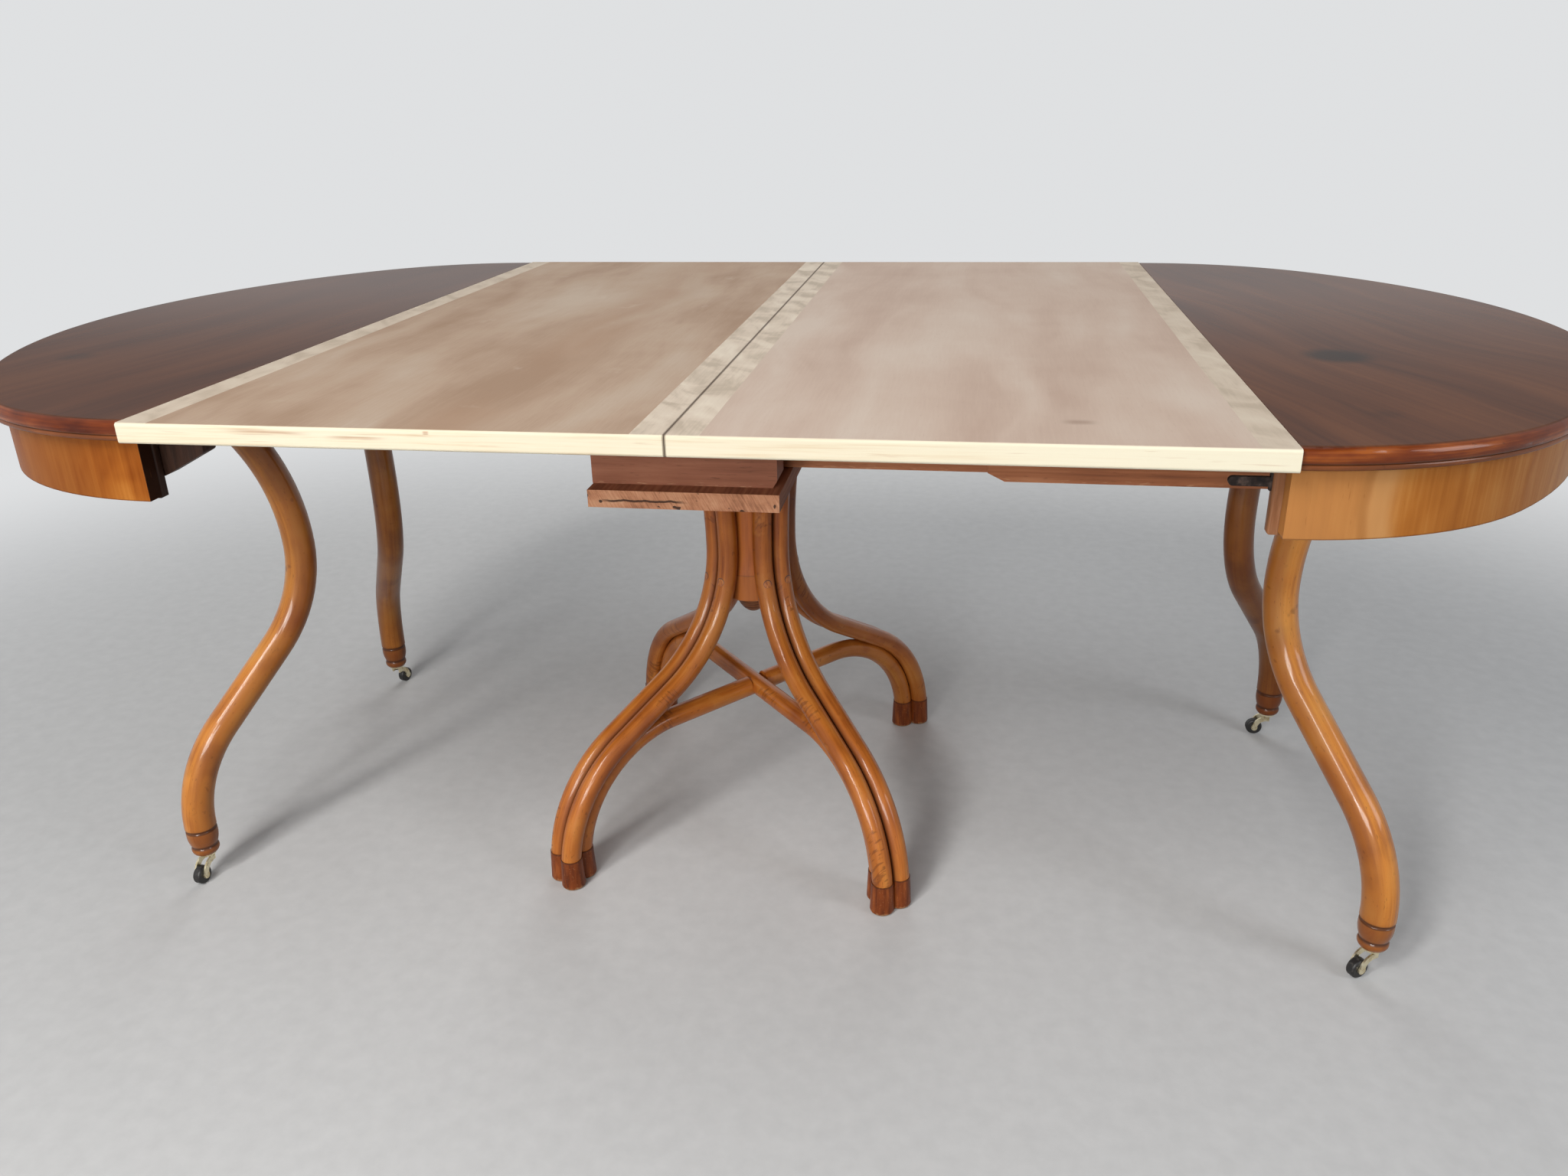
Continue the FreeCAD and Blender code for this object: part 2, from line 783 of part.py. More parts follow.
parts["bearer_plank"] = bearer_plank()
parts["bearer_cheek_front"] = bearer_cheek()
parts["bearer_cheek_back"] = to_back(bearer_cheek())
parts["pedestal_column"] = placed(pedestal_column(), 0, pedestal_x, pedestal_y)
parts["stretcher_arch_lower"] = placed(lower_arch(), leg_angle, pedestal_x, pedestal_y)
parts["stretcher_arch_upper"] = placed(upper_arch(), 180 - leg_angle, pedestal_x, pedestal_y)

rod = rod_body()
shoe = leg_shoe()
plugs = []
for corner, angle in (
    ("back_right", leg_angle),
    ("back_left", 180 - leg_angle),
    ("front_left", 180 + leg_angle),
    ("front_right", -leg_angle),
):
    parts["leg_shoe_" + corner] = placed(shoe, angle, pedestal_x, pedestal_y)
    for letter, side in (("a", -1), ("b", 1)):
        piece = leg_rod(rod, side)
        parts["leg_rod_" + corner + "_" + letter] = placed(piece, angle, pedestal_x, pedestal_y)
        plugs.append(placed(rod_plug(side), angle, pedestal_x, pedestal_y))
parts["rod_plugs"] = Part.makeCompound(plugs)

leg = end_leg()
fork = caster_fork()
wheel = caster_wheel()
for end, side in (("right", 1), ("left", -1)):
    for depth, sign in (("front", -1), ("back", 1)):
        slope = math.tan(math.radians(end_leg_angle))
        outward = math.degrees(math.atan2(sign * slope, side))
        parts[end + "_leg_" + depth] = placed(leg, outward, side * end_leg_x, sign * end_leg_y)
for corner, side, sign, trail in (
    ("right_front", 1, -1, 210),
    ("right_back", 1, 1, 180),
    ("left_back", -1, 1, 75),
    ("left_front", -1, -1, 265),
):
    parts["caster_fork_" + corner] = placed(fork, trail, side * end_leg_x, sign * end_leg_y)
    parts["caster_wheel_" + corner] = placed(wheel, trail, side * end_leg_x, sign * end_leg_y)

os.makedirs("parts", exist_ok=True)
for name, shape in parts.items():
    shape.exportStep(os.path.join("parts", name + ".step"))
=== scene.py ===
import math

import bpy
from mathutils import Matrix, Vector


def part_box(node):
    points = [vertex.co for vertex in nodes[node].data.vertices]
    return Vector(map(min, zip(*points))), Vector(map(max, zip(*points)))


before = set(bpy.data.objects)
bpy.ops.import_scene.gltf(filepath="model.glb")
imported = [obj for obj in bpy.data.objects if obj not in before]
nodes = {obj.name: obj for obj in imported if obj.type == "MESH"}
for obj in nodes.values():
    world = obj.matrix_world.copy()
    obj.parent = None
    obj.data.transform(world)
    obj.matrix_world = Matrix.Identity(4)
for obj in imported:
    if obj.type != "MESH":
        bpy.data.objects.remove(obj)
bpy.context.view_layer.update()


def middle_of(name):
    """The middle of a node's box."""
    low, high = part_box(name)
    return [(start + end) / 2 for start, end in zip(low, high)]


# Places of the table, in metres
plug_middle = middle_of("rod_plugs")
plug_offset = 0.0171
pedestal_place = plug_middle[:2]
pedestal_turns = (math.radians(49.5), math.radians(130.5))
rod_lean = math.radians(60.5)
rod_radius = 0.0138
end_leg_radius = 0.021
end_leg_place = (0.784, 0.301)
end_leg_turns = (math.radians(54), math.radians(126))
middle_blur = 0.01
corners = ("right_front", "right_back", "left_back", "left_front")
sides = ("right", "left")

# Colours of the woods, linear, and how much darker the back legs are made, partly by stain and partly by
# painted shade
honey = (0.47, 0.142, 0.02, 1)
amber = (0.6, 0.235, 0.045, 1)
russet = (0.24, 0.054, 0.008, 1)
umber = (0.06, 0.018, 0.006, 1)
mahogany = (0.118, 0.044, 0.021, 1)
mahogany_dark = (0.068, 0.027, 0.016, 1)
mahogany_warm = (0.172, 0.066, 0.028, 1)
cream = (0.735, 0.66, 0.5, 1)
maple = (0.66, 0.555, 0.445, 1)
maple_grey = (0.5, 0.41, 0.315, 1)
back_leg_stain_and_shade = {"right": 0.74, "left": 0.42}


class Value:
    """A socket of a finish. A sum or product of values adds its Math nodes."""

    def __init__(self, finish, socket):
        self.finish = finish
        self.socket = socket

    def __add__(self, other):
        return self.finish.math("ADD", self, other)

    def __radd__(self, other):
        return self.finish.math("ADD", other, self)

    def __sub__(self, other):
        return self.finish.math("SUBTRACT", self, other)

    def __rsub__(self, other):
        return self.finish.math("SUBTRACT", other, self)

    def __mul__(self, other):
        return self.finish.math("MULTIPLY", self, other)

    def __rmul__(self, other):
        return self.finish.math("MULTIPLY", other, self)

    def __pow__(self, other):
        return self.finish.math("POWER", self, other)

    def __rpow__(self, other):
        return self.finish.math("POWER", other, self)

    def __abs__(self):
        return self.finish.math("ABSOLUTE", self, 0)


class Finish:
    """A material, the place on the table that it is read at, and its patterns."""

    def __init__(self, name):
        self.material = bpy.data.materials.new(name)
        self.material.use_nodes = True
        self.tree = self.material.node_tree
        self.shader = self.tree.nodes["Principled BSDF"]
        place = self.node("ShaderNodeTexCoord", {}, {}, "Object")
        self.x = self.node("ShaderNodeSeparateXYZ", {}, {0: place}, "X")
        parts = self.x.socket.node.outputs
        self.y = Value(self, parts["Y"])
        self.z = Value(self, parts["Z"])

    def feed(self, socket, value):
        """Links a value to a socket, or sets a number or colour on it."""
        if isinstance(value, Value):
            self.tree.links.new(value.socket, socket)
        else:
            socket.default_value = value

    def node(self, kind, settings, inputs, output=0):
        """Adds a node, its settings first and then its sockets, and gives one of its outputs."""
        made = self.tree.nodes.new(kind)
        for name, setting in settings.items():
            if name == "stops":
                self.set_stops(made.color_ramp.elements, setting)
            else:
                setattr(made, name, setting)
        for name, value in inputs.items():
            self.feed(made.inputs[name], value)
        return Value(self, made.outputs[output])

    def set_stops(self, elements, stops):
        while len(elements) < len(stops):
            elements.new(1)
        for element, (position, colour) in zip(elements, stops):
            element.position = position
            element.color = colour

    def math(self, operation, first, second):
        return self.node("ShaderNodeMath", {"operation": operation}, {0: first, 1: second})

    def least(self, first, second):
        return self.math("MINIMUM", first, second)

    def most(self, first, second):
        return self.math("MAXIMUM", first, second)

    def rise(self, value, low, high):
        """0 below low and 1 above high, or the other way where low is the higher."""
        ends = {"Value": value, "From Min": low, "From Max": high}
        return self.node("ShaderNodeMapRange", {"interpolation_type": "SMOOTHSTEP"}, ends)

    def near(self, value, middle, half, soft):
        """1 within half of the middle, fading over soft."""
        return self.rise(abs(value - middle), half + soft, half)

    def on_right(self):
        """1 on the right half of the table and 0 on the left."""
        return self.rise(self.x, -middle_blur, middle_blur)

    def on_left(self):
        """1 on the left half of the table and 0 on the right."""
        return self.rise(self.x, middle_blur, -middle_blur)

    def noise(self, x, y, z, detail=3, rough=0.55, twist=0.0):
        place = self.node("ShaderNodeCombineXYZ", {}, {"X": x, "Y": y, "Z": z})
        inputs = {"Vector": place, "Scale": 1, "Detail": detail, "Roughness": rough, "Distortion": twist}
        return self.node("ShaderNodeTexNoise", {}, inputs)

    def tones(self, value, stops):
        return self.node("ShaderNodeValToRGB", {"stops": stops}, {0: value})

    def mix(self, share, first, second):
        return self.node("ShaderNodeMix", {"data_type": "RGBA"}, {0: share, 6: first, 7: second}, 2)

    def relief(self, height, distance, strength):
        inputs = {"Height": height, "Distance": distance, "Strength": strength}
        return self.node("ShaderNodeBump", {}, inputs)

    def dress(self, colour, roughness, relief=None, **others):
        """Feeds the shader. The others are named after its sockets, as coat_weight is for Coat Weight."""
        self.feed(self.shader.inputs["Base Color"], colour)
        self.feed(self.shader.inputs["Roughness"], roughness)
        if relief is not None:
            self.feed(self.shader.inputs["Normal"], relief)
        for name, value in others.items():
            socket = name.replace("_", " ").title().replace("Ior", "IOR")
            self.feed(self.shader.inputs[socket], value)
        return self.material


# Bent and turned wood
def bent_wood(name, turn, middle, dark, base, light):
    """Varnished bent wood. Its grain is fine only across the plane of the bend, so it follows the bend."""
    wood = Finish(name)
    cos, sin = math.cos(turn), math.sin(turn)
    x, y = wood.x - middle[0], wood.y - middle[1]
    across = y * cos - x * sin
    out = x * cos + y * sin
    streaks = wood.noise(across * 210, wood.z * 7, out * 7, 4, 0.6)
    clouds = wood.noise(across * 22, wood.z * 11, out * 11, 2)
    tone = streaks * 0.5 + clouds * 0.6 - 0.05
    colour = wood.tones(tone, [(0.3, dark), (0.5, base), (0.7, light)])
    pores = wood.rise(wood.noise(across * 900, wood.z * 120, out * 120, 1), 0.66, 0.76)
    colour = wood.mix(pores * 0.4, colour, umber)
    return wood, across, out, colour, streaks


def pedestal_rod(name, turn, paired):
    """A bent rod with cross ripples and worn spots. Where two lie side by side, painted shade darkens the
    crevice between them and each rod's sides.
    """
    wood, across, out, colour, streaks = bent_wood(name, turn, pedestal_place, russet, honey, amber)
    # shade is the colour of the painted shade on the sides of paired rods.
    burnt, shade = (0.13, 0.036, 0.009, 1), (0.15, 0.03, 0.005, 1)
    reach = abs(out)
    along = wood.z * math.cos(rod_lean) - reach * math.sin(rod_lean)
    over = reach * math.cos(rod_lean) + wood.z * math.sin(rod_lean)
    patches = wood.rise(wood.noise(across * 16 + 3, wood.z * 9, out * 9, 1), 0.52, 0.6)
    ripples = wood.noise(along * 260, over * 40, across * 55, 2, 0.6) * patches
    worn = wood.rise(wood.noise(across * 30, wood.z * 26 + 5, out * 26, 3), 0.6, 0.72)
    grime_and_shade = wood.rise(wood.noise(across * 40, wood.z * 17, out * 17 + 2, 3), 0.58, 0.7)
    colour = wood.mix(wood.rise(ripples, 0.5, 0.62) * 0.55, colour, burnt)
    colour = wood.mix(worn * 0.35, colour, amber)
    colour = wood.mix(grime_and_shade * 0.3, colour, russet)
    roughness = 0.36 + streaks * 0.12
    if paired:
        # Painted shade: each paired rod is darker on the side it turns to its partner and on its outer side,
        # darkest in the crevice between them.
        sideways = abs(across)
        beside_shade = wood.rise(sideways, rod_radius * 0.6, rod_radius * 0.1)
        outside = wood.rise(sideways, rod_radius * 1.5, rod_radius * 2)
        groove = wood.rise(sideways, rod_radius * 0.25, rod_radius * 0.05)
        colour = wood.mix(wood.most(beside_shade * 0.6, outside * 0.25), colour, shade)
        colour = wood.mix(groove * 0.7, colour, umber)
        roughness = roughness + groove * 0.3
    relief = wood.relief(ripples * 0.5 + streaks * 0.12, 0.0012, 0.5)
    varnish = {"specular_ior_level": 0.2, "coat_weight": 0.42, "coat_roughness": 0.1}
    return wood.dress(colour, roughness, relief, **varnish)


def end_leg(name, turn, place, stain):
    """A leg of an end, with painted shadow under the top, painted shade on its flanks and in the rings of
    the turned foot, which is darker. The stain darkens all of it; on the back legs it is partly stain and
    partly painted shade.
    """
    dark, base, light = (0.32, 0.088, 0.012, 1), (0.58, 0.21, 0.03, 1), (0.68, 0.3, 0.058, 1)
    deep, flank_shade_tint, foot_tint = (0.095, 0.021, 0.004, 1), (0.2, 0.046, 0.006, 1), (0.16, 0.036, 0.006, 1)
    shade_start, shade_full = 0.5, 0.71
    foot_start, foot_full = 0.09, 0.075
    lower_ring, upper_ring = 0.054, 0.0808
    wood, across, out, colour, streaks = bent_wood(name, turn, place, dark, base, light)
    # Painted shadow: darker towards the top, where the table top shades the leg.
    colour = wood.mix(wood.rise(wood.z, shade_start, shade_full) * 0.6, colour, deep)
    # Painted shade: darker on the leg's flanks, lighter along its middle.
    flank_shade = wood.rise(abs(across), end_leg_radius * 0.45, end_leg_radius * 0.95)
    colour = wood.mix(flank_shade * 0.45, colour, flank_shade_tint)
    mottle = wood.rise(wood.noise(across * 20, wood.z * 13 + 4, out * 13, 3), 0.5, 0.68)
    # The stain share darkens the whole leg; for the back legs it is partly a darker stain and partly painted
    # shade.
    colour = wood.mix(stain + mottle * (0.2 - stain * 0.1), colour, deep)
    knots = wood.rise(wood.noise(across * 40, wood.z * 34, out * 34, 2), 0.68, 0.78)
    colour = wood.mix(knots * 0.5, colour, deep)
    colour = wood.mix(wood.rise(wood.z, foot_start, foot_full) * 0.6, colour, foot_tint)
    # Painted shade in the groove and the notch of the turned foot.
    narrow = wood.near(wood.z, lower_ring, 0.001, 0.0034)
    rings = wood.most(narrow, wood.near(wood.z, upper_ring, 0.0018, 0.0024))
    colour = wood.mix(rings * 0.85, colour, umber)
    dents = wood.noise(wood.x * 90, wood.y * 90, wood.z * 90, 2)
    relief = wood.relief(dents * 0.2 + streaks * 0.15, 0.0012, 0.4)
    roughness = 0.32 + streaks * 0.12 + rings * 0.3
    varnish = {"specular_ior_level": 0.2, "coat_weight": 0.5 - stain * 0.3, "coat_roughness": 0.08}
    return wood.dress(colour, roughness, relief, **varnish)


def shoe_wood():
    """Dark stained shoes, rubbed pale at the floor and scratched, with a dark line round the top."""
    wood = Finish("shoe_wood")
    shoe_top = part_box("leg_shoe_front_left")[1][2]
    rubbed_start, rubbed_full = 0.0115, 0.0075
    rubbed, bare = (0.4, 0.215, 0.1, 1), (0.42, 0.2, 0.09, 1)
    streaks = wood.noise(wood.x * 160, wood.y * 160, wood.z * 22, 3)
    stain = [(0.3, (0.1, 0.02, 0.004, 1)), (0.55, (0.21, 0.046, 0.008, 1)), (0.75, (0.33, 0.088, 0.017, 1))]
    colour = wood.tones(streaks, stain)
    chips = wood.noise(wood.x * 190, wood.y * 190, wood.z * 190, 3)
    bottom = wood.rise(wood.z + chips * 0.012, rubbed_start, rubbed_full)
    brim = wood.near(wood.z + chips * 0.002, shoe_top + 0.0005, 0.0005, 0.0014)
    colour = wood.mix(bottom * 0.8, colour, rubbed)
    colour = wood.mix(brim * 0.65, colour, umber)
    scratches = wood.rise(wood.noise(wood.x * 420, wood.y * 420, wood.z * 420, 2), 0.64, 0.7)
    colour = wood.mix(scratches * 0.35, colour, bare)
    relief = wood.relief(chips * 0.4 + streaks * 0.2, 0.0014, 0.5)
    varnish = {"specular_ior_level": 0.2, "coat_weight": 0.15, "coat_roughness": 0.2}
    return wood.dress(colour, 0.42 + chips * 0.15, relief, **varnish)


def plug_wood():
    """Round end-grain plugs with a dark glue line round each."""
    wood = Finish("plug_wood")
    line_start, line_full = 0.0046, 0.0056
    x, y = wood.x - pedestal_place[0], wood.y - pedestal_place[1]
    spans = [abs(y * math.cos(turn) - x * math.sin(turn)) for turn in pedestal_turns]
    sideways = abs(wood.least(*spans) - plug_offset)
    from_middle = (sideways**2 + (wood.z - plug_middle[2]) ** 2) ** 0.5
    streaks = wood.noise(wood.x * 500, wood.y * 500, wood.z * 130, 3)
    colour = wood.tones(streaks, [(0.3, russet), (0.5, honey), (0.7, amber)])
    colour = wood.mix(wood.rise(from_middle, line_start, line_full) * 0.85, colour, umber)
    relief = wood.relief(streaks, 0.0008, 0.4)
    return wood.dress(colour, 0.36 + streaks * 0.1, relief, coat_weight=0.4, coat_roughness=0.15)


def column_wood():
    """The turned column, with painted highlight making its lip paler, and a dark ringed knob under it."""
    wood = Finish("column_wood")
    knob_height, lip_height = 0.03, 0.04
    lip_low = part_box("pedestal_column")[0][2] + knob_height
    lip_high = lip_low + lip_height
    chestnut, lip_highlight_tint, ring_tint = (0.43, 0.12, 0.023, 1), (0.46, 0.165, 0.045, 1), (0.26, 0.09, 0.03, 1)
    figure = wood.noise(wood.x * 34, wood.y * 34, wood.z * 5, 3, 0.6, 0.8)
    streaks = wood.noise(wood.x * 260, wood.y * 260, wood.z * 11, 3)
    tone = figure * 0.6 + streaks * 0.45
    colour = wood.tones(tone, [(0.32, russet), (0.52, chestnut), (0.7, honey)])
    # Painted highlight: the lip is made paler all round.
    lip = wood.near(wood.z, (lip_low + lip_high) / 2, lip_height / 2, 0.001)
    colour = wood.mix(lip * 0.4, colour, lip_highlight_tint)
    rings = wood.noise(wood.z * 420, wood.x * 30, wood.y * 30, 2)
    knob = wood.rise(wood.z, lip_low, lip_low - 0.001)
    colour = wood.mix(knob, colour, wood.tones(rings, [(0.35, umber), (0.65, ring_tint)]))
    seam = wood.near(wood.z, lip_high, 0.0004, 0.001)
    colour = wood.mix(seam * 0.35, colour, umber)
    relief = wood.relief(streaks * 0.3 + figure * 0.2, 0.001, 0.4)
    varnish = {"specular_ior_level": 0.3, "coat_weight": 0.2, "coat_roughness": 0.18}
    return wood.dress(colour, 0.38 + streaks * 0.14, relief, **varnish)


# Sawn wood under the top
def plank_wood():
    """A rough plank: dark faces, and pale saw-marked ends with a long crack in them."""
    wood = Finish("plank_wood")
    low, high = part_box("bearer_plank")
    crack_level, crack_middle, crack_half = low[2] + 0.0055, -0.085, 0.034
    black = (0.018, 0.008, 0.005, 1)
    streaks = wood.noise(wood.x * 190, wood.y * 8, wood.z * 190, 4)
    faces = [(0.3, (0.16, 0.056, 0.027, 1)), (0.55, (0.3, 0.112, 0.056, 1)), (0.75, (0.41, 0.165, 0.085, 1))]
    colour = wood.tones(streaks, faces)
    saw = wood.noise(wood.x * 520 + wood.z * 260, wood.z * 60, wood.x * 30, 3)
    mottle = wood.noise(wood.x * 26, wood.z * 55, wood.y * 5, 4)
    ends = [(0.34, (0.27, 0.105, 0.05, 1)), (0.52, (0.52, 0.235, 0.125, 1)), (0.7, (0.66, 0.36, 0.21, 1))]
    at_end = wood.rise(abs(wood.y), high[1] - 0.0016, high[1] - 0.0006)
    colour = wood.mix(at_end, colour, wood.tones(saw * 0.5 + mottle * 0.55, ends))
    wander = wood.noise(wood.x * 45, 0.0, 0.0, 3) * 0.006
    crack = wood.rise(abs(wood.z - crack_level - wander), 0.0016, 0.0006)
    crack = crack * wood.near(wood.x, crack_middle, crack_half, 0.02) * at_end
    holes = wood.rise(wood.noise(wood.x * 150, wood.y * 20, wood.z * 150, 0), 0.76, 0.8) * at_end
    colour = wood.mix(wood.most(crack, holes) * 0.9, colour, black)
    relief = wood.relief(saw * 0.5 + streaks * 0.3 - crack * 2, 0.0014, 0.6)
    return wood.dress(colour, 0.62 + saw * 0.15, relief, specular_ior_level=0.3)


def plain_brown_wood(name, fine, spread, stops, roughness, worn_edge):
    """Plain stained wood, its grain along X, with pale scratches along a lower edge."""
    wood = Finish(name)
    scratch_tint = (0.62, 0.36, 0.2, 1)
    streaks = wood.noise(wood.x * spread, wood.y * fine, wood.z * fine, 4, 0.6)
    clouds = wood.noise(wood.x * 7, wood.y * 16, wood.z * 16, 2)
    colour = wood.tones(streaks * 0.55 + clouds * 0.5, stops)
    pores = wood.rise(wood.noise(wood.x * 70, wood.y * 700, wood.z * 700, 1), 0.64, 0.74)
    colour = wood.mix(pores * 0.35, colour, umber)
    scratches = wood.rise(wood.noise(wood.x * 60, wood.y * 90, wood.z * 500, 3), 0.56, 0.66)
    scratches = scratches * wood.rise(wood.z, worn_edge + 0.006, worn_edge + 0.001)
    colour = wood.mix(scratches * 0.5, colour, scratch_tint)
    relief = wood.relief(streaks * 0.4 - pores * 0.3, 0.001, 0.4)
    return wood.dress(colour, roughness + streaks * 0.16, relief, specular_ior_level=0.3)


def cheek_wood():
    brick = [(0.36, (0.21, 0.07, 0.034, 1)), (0.52, (0.29, 0.106, 0.056, 1)), (0.7, (0.37, 0.15, 0.082, 1))]
    worn_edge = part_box("bearer_cheek_front")[0][2]
    return plain_brown_wood("cheek_wood", 190, 9, brick, 0.5, worn_edge)


def rail_wood():
    tawny = [(0.36, (0.22, 0.07, 0.026, 1)), (0.52, (0.36, 0.126, 0.05, 1)), (0.7, (0.48, 0.2, 0.09, 1))]
    worn_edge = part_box("right_end_rail_front")[0][2]
    return plain_brown_wood("rail_wood", 230, 7, tawny, 0.46, worn_edge)


def batten_wood():
    """Upright battens: light brown under the right end, nearly black under the left."""
    wood = Finish("batten_wood")
    streaks = wood.noise(wood.x * 230, wood.y * 230, wood.z * 15, 4)
    light = [(0.3, (0.13, 0.05, 0.02, 1)), (0.52, (0.235, 0.1, 0.044, 1)), (0.72, (0.33, 0.16, 0.08, 1))]
    black = [
        (0.3, (0.022, 0.009, 0.005, 1)),
        (0.55, (0.038, 0.015, 0.008, 1)),
        (0.75, (0.058, 0.023, 0.012, 1)),
    ]
    colour = wood.mix(wood.on_left(), wood.tones(streaks, light), wood.tones(streaks, black))
    relief = wood.relief(streaks, 0.001, 0.4)
    return wood.dress(colour, 0.42 + streaks * 0.18, relief, specular_ior_level=0.25)


# Polished ends
def mahogany_grain(wood):
    """Dark polished wood, its grain from front to back and leaning apart on the two ends."""
    right = wood.on_right()
    bow = wood.noise(wood.x * 2, wood.y * 2, 0.0, 1) * 0.1
    lean = right * 0.45 - 0.15
    place = wood.x + bow + wood.y * lean
    streaks = wood.noise(place * 130, wood.y * 5, 0.0, 4, 0.6)
    figure = wood.noise(place * 17, wood.y * 1.1, 0.0, 3, 0.55, 0.1)
    clouds = wood.noise(wood.x * 4 + 2, wood.y * 3, 0.0, 2)
    tone = streaks * 0.25 + figure * 0.55 + clouds * 0.25
    colour = wood.tones(tone, [(0.36, mahogany_dark), (0.53, mahogany), (0.72, mahogany_warm)])
    colour = wood.mix(0.35 - right * 0.35, colour, mahogany_dark)
    pores = wood.rise(wood.noise(place * 900, wood.y * 90, 0.0, 1), 0.64, 0.74)
    colour = wood.mix(pores * 0.35, colour, mahogany_dark)
    scuffs = wood.rise(wood.noise(wood.x * 9, wood.y * 13, 2.0, 3), 0.4, 0.75)
    roughness = 0.3 + scuffs * 0.08 + clouds * 0.12
    return colour, roughness, streaks, clouds, pores


def polish_share(wood):
    """How much polish shows on a top: less in front than behind, fitted to the photograph's reflections."""
    front_edge, full_at = -0.5, 0.35
    front_polish, back_polish = 0.2, 0.44
    return front_polish + wood.rise(wood.y, front_edge, full_at) * (back_polish - front_polish)


def top_wood():
    """Polish over dark mahogany-coloured wood, with a dark stain on the right end and fainter marks."""
    wood = Finish("top_wood")
    ink = (0.02, 0.016, 0.014, 1)
    stains = (
        (0.66, -0.199, 0.042, 0.8),
        (0.642, -0.456, 0.022, 0.25),
        (-0.806, -0.29, 0.03, 0.4),
    )
    colour, roughness, streaks, clouds, pores = mahogany_grain(wood)
    for x, y, half, share in stains:
        distance = ((wood.x - x) ** 2 + (wood.y - y) ** 2) ** 0.5
        ragged = distance + clouds * 0.05 - 0.025
        stain = wood.rise(ragged, half, half * 0.2)
        colour = wood.mix(stain * share, colour, ink)
    relief = wood.relief(streaks * 0.3 - pores * 0.3, 0.0005, 0.15)
    polish = {"specular_ior_level": 0, "coat_weight": polish_share(wood), "coat_roughness": 0.14}
    return wood.dress(colour, roughness, relief, **polish)


def rim_wood():
    """Reddish glossy nose and bead, its grain along the rim. The flat top matches the board inside it."""
    wood = Finish("rim_wood")
    low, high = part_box("right_end_edge")
    quirk_level = low[2] + 0.006
    bead_tint = (0.16, 0.062, 0.022, 1)
    streaks = wood.noise(wood.x * 9, wood.y * 9, wood.z * 330, 3)
    clouds = wood.noise(wood.x * 12 + 4, wood.y * 12, wood.z * 40, 3)
    reds = [(0.36, (0.07, 0.011, 0.002, 1)), (0.5, (0.15, 0.028, 0.004, 1)), (0.66, (0.34, 0.088, 0.012, 1))]
    colour = wood.tones(streaks * 0.35 + clouds * 0.65, reds)
    bead = wood.rise(wood.z, quirk_level + 0.0025, quirk_level - 0.0005)
    colour = wood.mix(bead * 0.5, colour, bead_tint)
    quirk = wood.near(wood.z, quirk_level, 0.0003, 0.0009)
    chips = wood.rise(wood.noise(wood.x * 130, wood.y * 130, wood.z * 180, 2), 0.68, 0.74)
    colour = wood.mix(wood.most(chips * 0.45, quirk * 0.7), colour, umber)
    polished, sheen = mahogany_grain(wood)[:2]
    flat = wood.rise(wood.z, high[2] - 0.0012, high[2] - 0.0003)
    nose = 1 - flat
    colour = wood.mix(flat, colour, polished)
    roughness = nose * (0.26 + clouds * 0.1) + flat * sheen
    relief = wood.relief(clouds * 0.3 - chips * 0.4, 0.001, 0.3)
    coat = nose * 0.55 + flat * polish_share(wood)
    return wood.dress(colour, roughness, relief, specular_ior_level=0, coat_weight=coat, coat_roughness=0.14)


def flamed_joint(wood, colour, ripple):
    """Paler veneer with a bowed flame in it, next to the joint at the right front."""
    joint, flame_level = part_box("right_end_apron")[0][0], 0.69
    pale_tint, glow_tint, flame_tint = (0.5, 0.235, 0.08, 1), (0.6, 0.34, 0.14, 1), (0.36, 0.155, 0.045, 1)
    front = wood.rise(wood.y, 0.0, -0.05)
    from_joint = wood.x - joint + ripple * 0.012 - ((wood.z - flame_level) ** 2) * 4
    pale = wood.rise(from_joint, 0.101, 0.081) * wood.on_right() * front
    colour = wood.mix(pale * 0.6, colour, pale_tint)
    glow = wood.near(from_joint, 0.077, 0.004, 0.012) * front
    colour = wood.mix(glow * 0.35, colour, glow_tint)
    flame = wood.near(from_joint, 0.063, 0.0012, 0.006) * front
    return wood.mix(flame * 0.5, colour, flame_tint)


